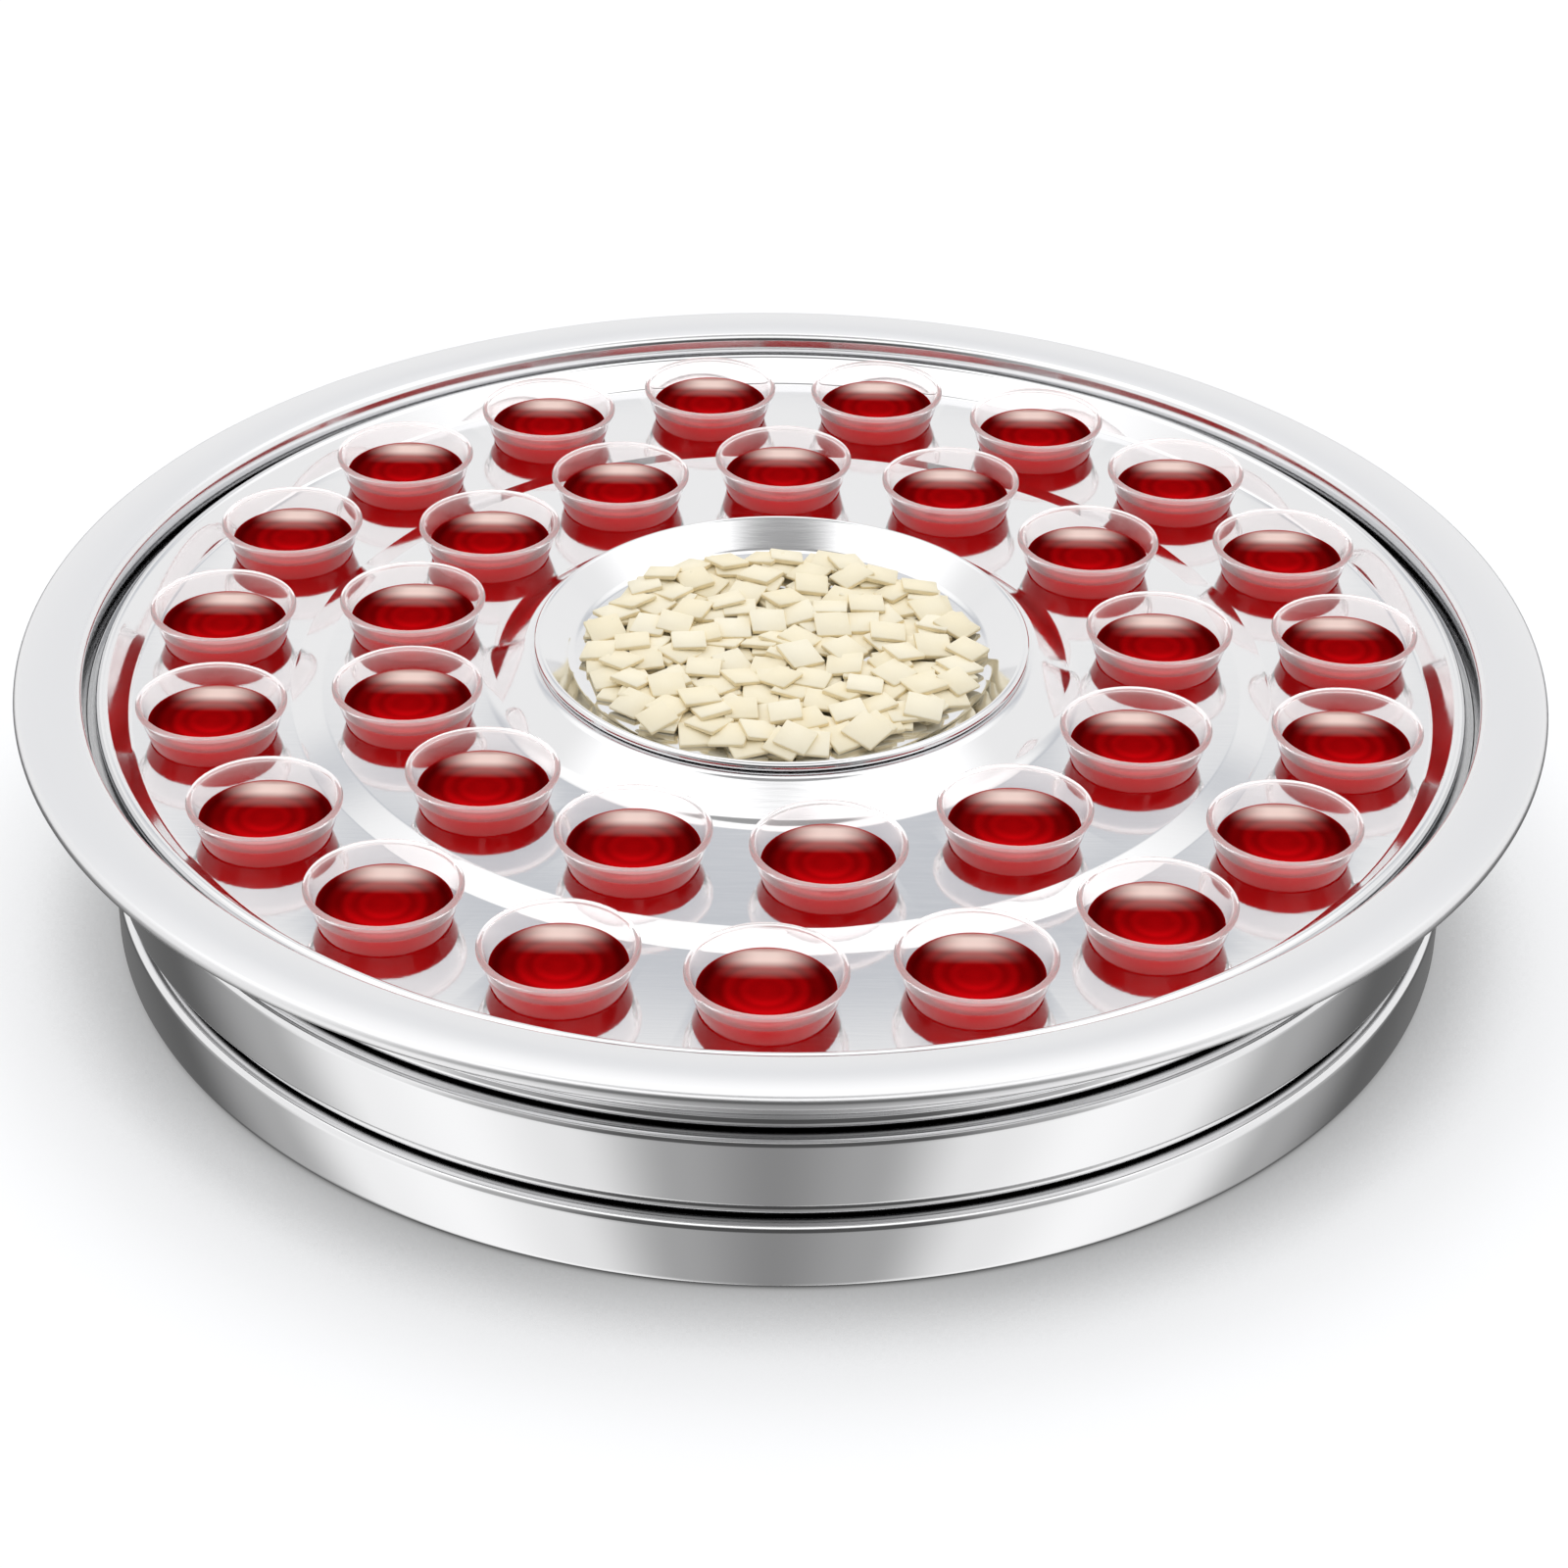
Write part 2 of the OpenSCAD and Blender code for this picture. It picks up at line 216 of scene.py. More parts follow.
def spun_polish(tree, along, across):
    """Noise drawn out round the Z axis, lines of a polishing wheel on pressed rings, and the radius."""
    place = add(tree, "ShaderNodeTexCoord").outputs["Object"]
    axes = add(tree, "ShaderNodeSeparateXYZ", links={0: place})
    flat = add(tree, "ShaderNodeCombineXYZ", links={"X": axes.outputs["X"], "Y": axes.outputs["Y"]})
    radius = add(tree, "ShaderNodeVectorMath", {"operation": "LENGTH"}, {0: flat.outputs[0]})
    turn = add(
        tree, "ShaderNodeMath", {"operation": "ARCTAN2"},
        {0: axes.outputs["Y"], 1: axes.outputs["X"]},
    )
    lines = add(
        tree, "ShaderNodeCombineXYZ",
        links={"X": radius.outputs["Value"], "Y": axes.outputs["Z"], "Z": turn.outputs[0]},
    )
    scaled = add(
        tree, "ShaderNodeVectorMath", {"operation": "MULTIPLY", 1: (across, across, along)},
        {0: lines.outputs[0]},
    )
    noise = add(
        tree, "ShaderNodeTexNoise", {"Scale": 1.0, "Detail": 3.0, "Roughness": 0.55},
        {"Vector": scaled.outputs[0]},
    )
    return noise, radius.outputs["Value"]


def painted_fold_shade(tree, colour):
    """The colour with painted shade: dark in folds a few millimetres wide, where little sky reaches."""
    open_sky = add(tree, "ShaderNodeAmbientOcclusion", {"samples": 8, "Distance": 2.6 * MM})
    fold_darkening = add(
        tree, "ShaderNodeValToRGB", {"interpolation": "EASE", "stops": FOLD_SHADE},
        {"Fac": open_sky.outputs["AO"]},
    )
    return add(
        tree, "ShaderNodeMix", {"data_type": "RGBA", "blend_type": "MULTIPLY", 0: 1.0, 7: colour},
        {6: fold_darkening.outputs["Color"]},
    ).outputs[2]


def polished_steel(colour):
    """Pressed stainless steel, buffed on a wheel: a mirror with a soft blur and lines round the axis."""
    material, tree, out = new_material("polished_stainless_steel")
    # Buffing lines are about 0.25 mm apart, drawn 1.2 mm apart so that they show
    lines, radius = spun_polish(tree, 2.0, 1 / (1.2 * MM))
    # The wide rim is handled most, so it has a satin finish
    rim = add(
        tree, "ShaderNodeMapRange",
        {
            "From Min": (WELL_EDGE_R - 1) * MM, "From Max": (WELL_EDGE_R + 1) * MM,
            "To Min": 0.07, "To Max": 0.27,
        },
        {"Value": radius},
    )
    blur = add(
        tree, "ShaderNodeMath", {"operation": "MULTIPLY_ADD", 1: 0.06},
        {0: lines.outputs["Fac"], 2: rim.outputs[0]},
    )
    bump = add(
        tree, "ShaderNodeBump", {"Strength": 0.05, "Distance": 0.02 * MM}, {"Height": lines.outputs["Fac"]}
    )
    # The base colour carries painted shade in the steel's folds
    shader = add(
        tree, "ShaderNodeBsdfPrincipled", {"Metallic": 1.0},
        {"Base Color": painted_fold_shade(tree, colour), "Roughness": blur.outputs[0], "Normal": bump.outputs[0]},
    )
    tree.links.new(shader.outputs[0], out.inputs["Surface"])
    return material


def brushed_plate(colour):
    """Bright rolled sheet: a near mirror with straight, short grain left by the rolling mill."""
    material, tree, out = new_material("bright_rolled_steel")
    place = add(tree, "ShaderNodeTexCoord").outputs["Object"]
    # Grain is about 0.2 mm wide, drawn 0.7 mm wide and 12 mm long so that it shows
    grain = add(
        tree, "ShaderNodeMapping", {"Scale": (1 / (12 * MM), 1 / (0.7 * MM), 1 / (0.7 * MM))},
        {"Vector": place},
    )
    streaks = add(
        tree, "ShaderNodeTexNoise", {"Scale": 1.0, "Detail": 4.0, "Roughness": 0.6},
        {"Vector": grain.outputs[0]},
    )
    blur = add(
        tree, "ShaderNodeMapRange", {"From Min": 0.3, "From Max": 0.75, "To Min": 0.05, "To Max": 0.13},
        {"Value": streaks.outputs["Fac"]},
    )
    bump = add(
        tree, "ShaderNodeBump", {"Strength": 0.16, "Distance": 0.03 * MM},
        {"Height": streaks.outputs["Fac"]},
    )
    shader = add(
        tree, "ShaderNodeBsdfPrincipled", {"Base Color": colour, "Metallic": 1.0},
        {"Roughness": blur.outputs[0], "Normal": bump.outputs[0]},
    )
    tree.links.new(shader.outputs[0], out.inputs["Surface"])
    return material


def clear_plastic(colour):
    """Moulded clear polystyrene: smooth, faintly wavy and a little milky, most of all in its lip, which has
    a painted glow.
    """
    material, tree, out = new_material("clear_polystyrene")
    place = add(tree, "ShaderNodeTexCoord").outputs["Object"]
    lip = add(tree, "ShaderNodeAttribute", {"attribute_name": "lip"}).outputs["Fac"]
    clear = add(tree, "ShaderNodeMapRange", {"To Min": 0.99, "To Max": 0.78}, {"Value": lip})
    # Painted glow in the lip, standing in for light piped along the clear wall
    lip_glow = add(tree, "ShaderNodeMapRange", {"To Min": 0.0, "To Max": 0.13}, {"Value": lip})
    # Waves left by the mould are about 8 mm long
    waves = add(tree, "ShaderNodeTexNoise", {"Scale": 1 / (8 * MM), "Detail": 1.0}, {"Vector": place})
    bump = add(
        tree, "ShaderNodeBump", {"Strength": 0.15, "Distance": 0.3 * MM}, {"Height": waves.outputs["Fac"]}
    )
    # Polystyrene's IOR is about 1.59. It is lower here, to match how little the wet walls mirror
    shader = add(
        tree, "ShaderNodeBsdfPrincipled",
        {"Base Color": colour, "Roughness": 0.02, "IOR": 1.3, "Emission Color": colour},
        {
            "Transmission Weight": clear.outputs[0], "Emission Strength": lip_glow.outputs[0],
            "Normal": bump.outputs[0],
        },
    )
    tree.links.new(shader.outputs[0], out.inputs["Surface"])
    return material


def red_drink(colour):
    """Grape juice, dark with fine pulp: painted rings of light, painted shade, a painted gleam on the far
    side and a painted glow.
    """
    material, tree, out = new_material("grape_juice")
    reach = add(tree, "ShaderNodeAttribute", {"attribute_name": "reach"}).outputs["Fac"]
    spot = add(tree, "ShaderNodeAttribute", {"attribute_name": "spot"}).outputs["Vector"]
    axes = add(tree, "ShaderNodeSeparateXYZ", links={0: spot})
    surface = axes.outputs["Z"]
    across = add(tree, "ShaderNodeMath", {"operation": "ABSOLUTE"}, {0: axes.outputs["X"]}).outputs[0]
    along = add(
        tree, "ShaderNodeMapRange", {"From Min": -1.0, "From Max": 1.0}, {"Value": axes.outputs["Y"]}
    ).outputs[0]
    # Painted light and shade: light is taken to fall in from behind, so the drink is painted brightest at
    # the front and darkest at the sides
    rings, lengthways, sideways, gleam, narrow = (
        add(
            tree, "ShaderNodeValToRGB", {"interpolation": "EASE", "stops": stops}, {"Fac": way}
        ).outputs["Color"]
        for stops, way in (
            (DRINK_RINGS, reach), (DRINK_LENGTHWAYS, along), (DRINK_SIDEWAYS, across),
            (GLEAM_LENGTHWAYS, along), (GLEAM_SIDEWAYS, across),
        )
    )
    shade = rings
    for layer in (lengthways, sideways):
        shade = add(
            tree, "ShaderNodeMix", {"data_type": "RGBA", "blend_type": "MULTIPLY", 0: 1.0},
            {6: shade, 7: layer},
        ).outputs[2]
    red = add(
        tree, "ShaderNodeMix", {"data_type": "RGBA", "blend_type": "MULTIPLY", 0: 1.0, 7: colour},
        {6: shade},
    )
    # Painted highlight: a pale gleam towards the far side of the surface
    bright = add(tree, "ShaderNodeMath", {"operation": "MULTIPLY"}, {0: gleam, 1: narrow})
    bright = add(tree, "ShaderNodeMath", {"operation": "MULTIPLY"}, {0: bright.outputs[0], 1: surface})
    painted_light_colour = add(
        tree, "ShaderNodeMix", {"data_type": "RGBA", 7: linear("FFE9E0")},
        {0: bright.outputs[0], 6: red.outputs[2]},
    )
    # Painted glow, strong on the wall and faint on the surface, standing in for light that entered from
    # above and leaves through the wall
    glow = add(tree, "ShaderNodeMapRange", {"To Min": 0.22, "To Max": 0.02}, {"Value": surface})
    shader = add(
        tree, "ShaderNodeBsdfPrincipled",
        {"Roughness": 0.1, "Specular IOR Level": 0.0, "Emission Color": linear("FF0A10")},
        {"Base Color": painted_light_colour.outputs[2], "Emission Strength": glow.outputs[0]},
    )
    tree.links.new(shader.outputs[0], out.inputs["Surface"])
    return material


def unleavened_bread(crumb, crust):
    """Thin baked wafer bread: dry and matt, pale faces with tiny pits, darker cut edges."""
    material, tree, out = new_material("unleavened_bread")
    place = add(tree, "ShaderNodeTexCoord").outputs["Object"]
    # Browning varies over about 6 mm, and the pits are about 0.9 mm apart
    cloud = add(tree, "ShaderNodeTexNoise", {"Scale": 1 / (6 * MM), "Detail": 4.0}, {"Vector": place})
    pits = add(tree, "ShaderNodeTexNoise", {"Scale": 1 / (0.9 * MM), "Detail": 3.0}, {"Vector": place})
    tone = add(tree, "ShaderNodeAttribute", {"attribute_name": "tone"})
    edge = add(tree, "ShaderNodeAttribute", {"attribute_name": "edge"})
    mottled = add(
        tree, "ShaderNodeMath", {"operation": "MULTIPLY_ADD", 1: 0.5},
        {0: cloud.outputs["Fac"], 2: tone.outputs["Fac"]},
    )
    face = add(
        tree, "ShaderNodeMix", {"data_type": "RGBA", 6: crumb, 7: linear("F8EBC8")}, {0: mottled.outputs[0]}
    )
    mixed = add(
        tree, "ShaderNodeMix", {"data_type": "RGBA", 7: crust},
        {0: edge.outputs["Fac"], 6: face.outputs[2]},
    )
    bump = add(
        tree, "ShaderNodeBump", {"Strength": 0.35, "Distance": 0.15 * MM}, {"Height": pits.outputs["Fac"]}
    )
    shader = add(
        tree, "ShaderNodeBsdfPrincipled", {"Roughness": 0.8, "Specular IOR Level": 0.25},
        {"Base Color": mixed.outputs[2], "Normal": bump.outputs[0]},
    )
    tree.links.new(shader.outputs[0], out.inputs["Surface"])
    return material


def matt_floor(colour):
    """Seamless white paper, lit evenly from all round: matt, with a faint fibre and a soft shadow."""
    material, tree, out = new_material("white_paper")
    place = add(tree, "ShaderNodeTexCoord").outputs["Object"]
    # Fibres are about 2 mm long
    fibre = add(tree, "ShaderNodeTexNoise", {"Scale": 1 / (2 * MM), "Detail": 2.0}, {"Vector": place})
    blur = add(
        tree, "ShaderNodeMapRange", {"To Min": 0.85, "To Max": 0.95}, {"Value": fibre.outputs["Fac"]}
    )
    open_sky = add(tree, "ShaderNodeAmbientOcclusion", {"samples": 16, "Distance": 60 * MM})
    shadow = add(
        tree, "ShaderNodeValToRGB", {"interpolation": "EASE", "stops": FLOOR_SHADOW},
        {"Fac": open_sky.outputs["AO"]},
    )
    painted_light_colour = add(
        tree, "ShaderNodeMix", {"data_type": "RGBA", "blend_type": "MULTIPLY", 0: 1.0, 7: colour},
        {6: shadow.outputs["Color"]},
    )
    shader = add(
        tree, "ShaderNodeBsdfPrincipled", {"Specular IOR Level": 0.0, "Emission Strength": 0.78},
        {
            "Base Color": painted_light_colour.outputs[2], "Emission Color": shadow.outputs["Color"],
            "Roughness": blur.outputs[0],
        },
    )
    tree.links.new(shader.outputs[0], out.inputs["Surface"])
    return material


def shared(name, make, *colours):
    """A material that is made once and then used again."""
    return bpy.data.materials.get(name) or make(*colours)


def spun(corners, steps, segments=6):
    """A bmesh spun round the Z axis from corners (radius, height, fillet) in millimetres."""
    bm = bmesh.new()
    points = [bm.verts.new((c[0] * MM, 0, c[1] * MM)) for c in corners]
    for a, b in zip(points, points[1:]):
        bm.edges.new((a, b))
    places = [p.co.copy() for p in points]
    for i in range(1, len(corners) - 1):
        before, after = places[i - 1] - places[i], places[i + 1] - places[i]
        half = before.angle(after) / 2
        fillet = corners[i][2] * MM
        if fillet > 0:
            bmesh.ops.bevel(
                bm, geom=[points[i]], offset=fillet / math.tan(half), offset_type="OFFSET",
                affect="VERTICES", segments=segments, profile=0.5, material=-1,
            )
    bmesh.ops.spin(
        bm, geom=bm.verts[:] + bm.edges[:], axis=(0, 0, 1), cent=(0, 0, 0), angle=2 * math.pi,
        steps=steps, use_merge=True, dvec=(0, 0, 0),
    )
    bmesh.ops.remove_doubles(bm, verts=bm.verts, dist=WELD * MM)
    bmesh.ops.recalc_face_normals(bm, faces=bm.faces)
    return bm


def piece(name, bm, material):
    """An object at the origin that holds the bmesh."""
    mesh = bpy.data.meshes.new(name)
    bm.to_mesh(mesh)
    bm.free()
    mesh.materials.append(material)
    made = bpy.data.objects.new(name, mesh)
    bpy.context.scene.collection.objects.link(made)
    return made


def settle(made):
    """Turns the piece's modifiers into plain mesh and shades it smooth with crisp edges."""
    graph = bpy.context.evaluated_depsgraph_get()
    if made.modifiers:
        mesh = bpy.data.meshes.new_from_object(made.evaluated_get(graph))
        made.modifiers.clear()
        made.data = mesh
    made.data.shade_smooth()
    made.data.set_sharp_from_angle(angle=SHARP_ANGLE)
    return made


def pressed(name, corners, material):
    """A pressed sheet piece: corners run along the middle of the sheet."""
    made = piece(name, spun(corners, ROUND_STEPS), material)
    wall = made.modifiers.new("sheet", "SOLIDIFY")
    wall.thickness = bpy.context.scene.tray_sizes.sheet
    wall.offset = 0
    wall.use_even_offset = True
    return made


def place_piece(made, body, slot, *nodes):
    """Says what carries the piece and which solids it stands for. Its finish, slot, is not used."""
    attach(made, body)
    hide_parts(*nodes)


def band_top(z):
    """Ledge and shoulder at the top of a band."""
    return [
        (OPENING_R + HALF_SHEET, z - NEST_H, 0),
        (OPENING_R + HALF_SHEET, z - HALF_SHEET, BEND),
        (BAND_R - HALF_SHEET, z - HALF_SHEET, SHOULDER_ROUND),
    ]


def beaded_foot(r, z):
    """Waist, bead and step at the foot of a wall."""
    return [
        (r, z + WAIST_H, BEND),
        (FOOT_R - HALF_SHEET, z + FOOT_BEAD_TOP, BEND),
        (FOOT_R - HALF_SHEET + FOOT_BEAD_OUT, z + FOOT_BEAD_MID, BEND),
        (FOOT_R - HALF_SHEET, z + HALF_SHEET, BEND),
        (NEST_R - HALF_SHEET, z + HALF_SHEET, BEND),
    ]


def cup_places():
    """(name, x, y, height of the plate) of every cup, in millimetres."""
    places = []
    for i in range(OUTER_CUPS):
        angle = math.radians(OUTER_START - 360 * i / OUTER_CUPS)
        places.append((f"outer_{i + 1:02d}", OUTER_R * math.cos(angle), OUTER_R * math.sin(angle), DECK_Z))
    for i in range(INNER_CUPS):
        even = INNER_START - 360 * i / INNER_CUPS
        angle = math.radians(even + INNER_CROWD * math.sin(math.radians(even)))
        places.append((f"inner_{i + 1:02d}", INNER_R * math.cos(angle), INNER_R * math.sin(angle), TRACK_Z))
    return places


class TRAY_OT_stage(bpy.types.Operator):
    """Floor, soft studio light and camera"""

    bl_idname = "tray.stage"
    bl_label = "Stage"

    def execute(self, context):
        scene = context.scene
        self.floor(scene)
        self.light(scene)
        self.camera(scene)
        scene.view_settings.view_transform = "Standard"
        return {"FINISHED"}

    def floor(self, scene):
        """A wide sheet of paper that the steel doesn't mirror."""
        bm = bmesh.new()
        bmesh.ops.create_grid(bm, x_segments=4, y_segments=4, size=FLOOR_HALF)
        colour = linear(scene.tray_colours.floor)
        made = piece("floor", bm, shared("white_paper", matt_floor, colour))
        made.visible_glossy = False

    def light(self, scene):
        """A studio tent, as a sky: white overhead, bright sides and back, dark where the camera stands."""
        world = bpy.data.worlds.new("studio_tent")
        scene.world = world
        world.use_nodes = True
        tree = world.node_tree
        tree.nodes.clear()
        way = add(tree, "ShaderNodeTexCoord").outputs["Generated"]
        axes = add(tree, "ShaderNodeSeparateXYZ", links={0: way})
        height = axes.outputs["Z"]
        front = add(tree, "ShaderNodeMath", {"operation": "MULTIPLY", 1: -1.0}, {0: axes.outputs["Y"]})
        side = add(tree, "ShaderNodeMath", {"operation": "ABSOLUTE"}, {0: axes.outputs["X"]})
        turn = add(
            tree, "ShaderNodeMath", {"operation": "ARCTAN2"}, {0: side.outputs[0], 1: front.outputs[0]}
        )
        # Share of the half turn from the front, 0, to the back, 1
        share = add(
            tree, "ShaderNodeMath", {"operation": "DIVIDE", 1: math.pi}, {0: turn.outputs[0]}
        ).outputs[0]
        low, middle, screen, roof = (
            add(
                tree, "ShaderNodeValToRGB", {"interpolation": blend, "stops": stops}, {"Fac": source}
            ).outputs["Color"]
            for stops, source, blend in (
                (TENT_LOW, share, "EASE"), (TENT_SIDES, share, "EASE"), (TENT_BACK, height, "EASE"),
                (TENT_ROOF, height, "LINEAR"),
            )
        )
        behind = add(tree, "ShaderNodeMapRange", {"From Min": 0.7, "From Max": 0.9}, {"Value": share})
        sides = add(
            tree, "ShaderNodeMix", {"data_type": "RGBA", "blend_type": "MULTIPLY"},
            {0: behind.outputs[0], 6: middle, 7: screen},
        )
        overhead = add(
            tree, "ShaderNodeMapRange",
            {"From Min": 0.62, "From Max": 0.82, "interpolation_type": "SMOOTHSTEP"}, {"Value": height},
        )
        upper = add(
            tree, "ShaderNodeMix", {"data_type": "RGBA"},
            {0: overhead.outputs[0], 6: sides.outputs[2], 7: roof},
        )
        above = add(
            tree, "ShaderNodeMapRange",
            {"From Min": -0.2, "From Max": 0.02, "interpolation_type": "SMOOTHSTEP"}, {"Value": height},
        )
        tent = add(
            tree, "ShaderNodeMix", {"data_type": "RGBA"}, {0: above.outputs[0], 6: low, 7: upper.outputs[2]}
        )
        glow = add(tree, "ShaderNodeBackground", {"Strength": 1.0}, {"Color": tent.outputs[2]})
        add(tree, "ShaderNodeOutputWorld", links={"Surface": glow.outputs[0]})

    def camera(self, scene):
        """Camera at the viewing angle of the photograph: 88 mm lens, 84 cm away, 33 degrees down."""
        lens = bpy.data.cameras.new("camera")
        lens.sensor_width = SENSOR_MM
        lens.lens = SENSOR_MM * FOCAL_PX / PHOTO_PX
        made = bpy.data.objects.new("camera", lens)
        pitch, yaw, roll = (math.radians(a) for a in (CAMERA_PITCH, CAMERA_YAW, CAMERA_ROLL))
        tilt = Matrix.Rotation(math.pi / 2 - pitch, 4, "X") @ Matrix.Rotation(roll, 4, "Z")
        made.matrix_world = Matrix.Translation(CAMERA_PLACE) @ Matrix.Rotation(-yaw, 4, "Z") @ tilt
        scene.collection.objects.link(made)
        scene.camera = made


class TRAY_OT_base_pan(bpy.types.Operator):
    """Shallow pan with a ledge: the lower band"""

    bl_idname = "tray.base_pan"
    bl_label = "Base pan"

    def execute(self, context):
        colour = linear(context.scene.tray_colours.steel)
        steel = shared("polished_stainless_steel", polished_steel, colour)
        corners = band_top(BASE_TOP)
        corners += [(BAND_R - HALF_SHEET, HALF_SHEET, BASE_ROUND), (0, HALF_SHEET, 0)]
        made = settle(pressed("base_pan_steel", corners, steel))
        place_piece(made, "base_pan", "polished_steel", "base_pan")
        return {"FINISHED"}


class TRAY_OT_stacking_ring(bpy.types.Operator):
    """Open ring with a beaded foot: the upper band"""

    bl_idname = "tray.stacking_ring"
    bl_label = "Stacking ring"

    def execute(self, context):
        colour = linear(context.scene.tray_colours.steel)
        steel = shared("polished_stainless_steel", polished_steel, colour)
        corners = band_top(RING_TOP) + beaded_foot(BAND_R - HALF_SHEET, RING_Z)
        corners.append((NEST_R - HALF_SHEET, RING_Z - NEST_H, 0))
        made = settle(pressed("stacking_ring_steel", corners, steel))
        place_piece(made, "stacking_ring", "polished_steel", "stacking_ring")
        return {"FINISHED"}


class TRAY_OT_tray_pan(bpy.types.Operator):
    """Wide rim with a rolled lip, groove, neck and well"""

    bl_idname = "tray.tray_pan"
    bl_label = "Tray pan"

    def execute(self, context):
        colour = linear(context.scene.tray_colours.steel)
        steel = shared("polished_stainless_steel", polished_steel, colour)
        corners = [
            (RIM_R - HEM_W, RIM_Z - HEM_H, 0),
            (RIM_R - HALF_SHEET, RIM_Z - HEM_H, HEM_ROUND),
            (RIM_R - HALF_SHEET, RIM_Z - HALF_SHEET, HEM_ROUND),
            (RIM_R - CROWN_IN, RIM_Z + CROWN_UP, CROWN_ROUND),
            (WELL_EDGE_R, RIM_Z - HALF_SHEET, WELL_EDGE_ROUND),
            (WELL_EDGE_R - WELL_LEAN, SEAT_Z - HALF_SHEET, BEND),
            (NECK_R - HALF_SHEET, SEAT_Z - HALF_SHEET, BEND),
            *beaded_foot(NECK_R - HALF_SHEET, TRAY_Z),
            (NEST_R - HALF_SHEET, TRAY_Z - NEST_H, NEST_ROUND),
            (WELL_R - HALF_SHEET, TRAY_Z - 2 * NEST_H, NEST_ROUND),
            (WELL_R - HALF_SHEET - WELL_DRAFT, WELL_FLOOR_Z - HALF_SHEET, WELL_ROUND),
            (0, WELL_FLOOR_Z - HALF_SHEET, 0),
        ]
        made = settle(pressed("tray_pan_steel", corners, steel))
        place_piece(made, "tray_pan", "polished_steel", "tray_pan")
        return {"FINISHED"}


class TRAY_OT_cup_plate(bpy.types.Operator):
    """Stepped plate with a rolled edge, punched holes and a raised ring"""

    bl_idname = "tray.cup_plate"
    bl_label = "Cup plate"

    def execute(self, context):
        steel = shared("bright_rolled_steel", brushed_plate, linear(context.scene.tray_colours.steel))
        corners = [
            (BEAD_C, BEAD_Z + HALF_SHEET, 0),
            (BEAD_R - HALF_SHEET, BEAD_Z + HALF_SHEET, PLATE_ROLL),
            (BEAD_R - HALF_SHEET, BEAD_TOP - HALF_SHEET, PLATE_ROLL),
            (BEAD_C - PLATE_TUCK, BEAD_TOP - HALF_SHEET, PLATE_ROLL),
            (WALL_FOOT_R, DECK_Z - HALF_SHEET, WALL_FOOT_ROUND),
            (STEP_OUT_R, DECK_Z - HALF_SHEET, STEP_ROUND),
            (STEP_IN_R, TRACK_Z - HALF_SHEET, STEP_ROUND),
            (RISER_R, TRACK_Z - HALF_SHEET, RISER_ROUND),
            (CREST_R, CREST_Z - HALF_SHEET, CREST_ROUND),
            (DISH_OPEN_R + HALF_SHEET, CREST_Z - HALF_SHEET, BEND),
            (DISH_OPEN_R + HALF_SHEET, CREST_Z - HALF_SHEET - SKIRT_H, 0),
        ]
        made = pressed("cup_plate_steel", corners, steel)
        punch = self.punches(steel)
        cut = made.modifiers.new("holes", "BOOLEAN")
        cut.object = punch
        cut.solver = "EXACT"
        settle(made)
        bpy.data.objects.remove(punch)
        place_piece(made, "cup_plate", "polished_steel", "cup_plate")
        return {"FINISHED"}

    def punches(self, steel):
        """One round punch for every cup."""
        bm = bmesh.new()
        for _, x, y, z in cup_places():
            bmesh.ops.create_cone(
                bm, cap_ends=True, segments=CUP_STEPS, radius1=HOLE_R * MM, radius2=HOLE_R * MM,
                depth=PUNCH_H * MM, matrix=Matrix.Translation((x * MM, y * MM, (z - HALF_SHEET) * MM)),
            )
        return piece("punches", bm, steel)


class TRAY_OT_bread_dish(bpy.types.Operator):
    """Shallow dish with a rolled rim"""

    bl_idname = "tray.bread_dish"
    bl_label = "Bread dish"

    def execute(self, context):
        steel = shared("bright_rolled_steel", brushed_plate, linear(context.scene.tray_colours.steel))
        corners = [
            (DISH_C, DISH_Z + HALF_SHEET, 0),
            (DISH_R - HALF_SHEET, DISH_Z + HALF_SHEET, DISH_ROLL),
            (DISH_R - HALF_SHEET, DISH_TOP - HALF_SHEET, DISH_ROLL),
            (DISH_C - DISH_TUCK, DISH_TOP - HALF_SHEET, DISH_ROLL),
            (DISH_FLOOR_R, DISH_FLOOR_Z - HALF_SHEET, DISH_ROUND),
            (0, DISH_FLOOR_Z - HALF_SHEET, 0),
        ]
        made = settle(pressed("bread_dish_steel", corners, steel))
        place_piece(made, "bread_dish", "polished_steel", "bread_dish")
        return {"FINISHED"}


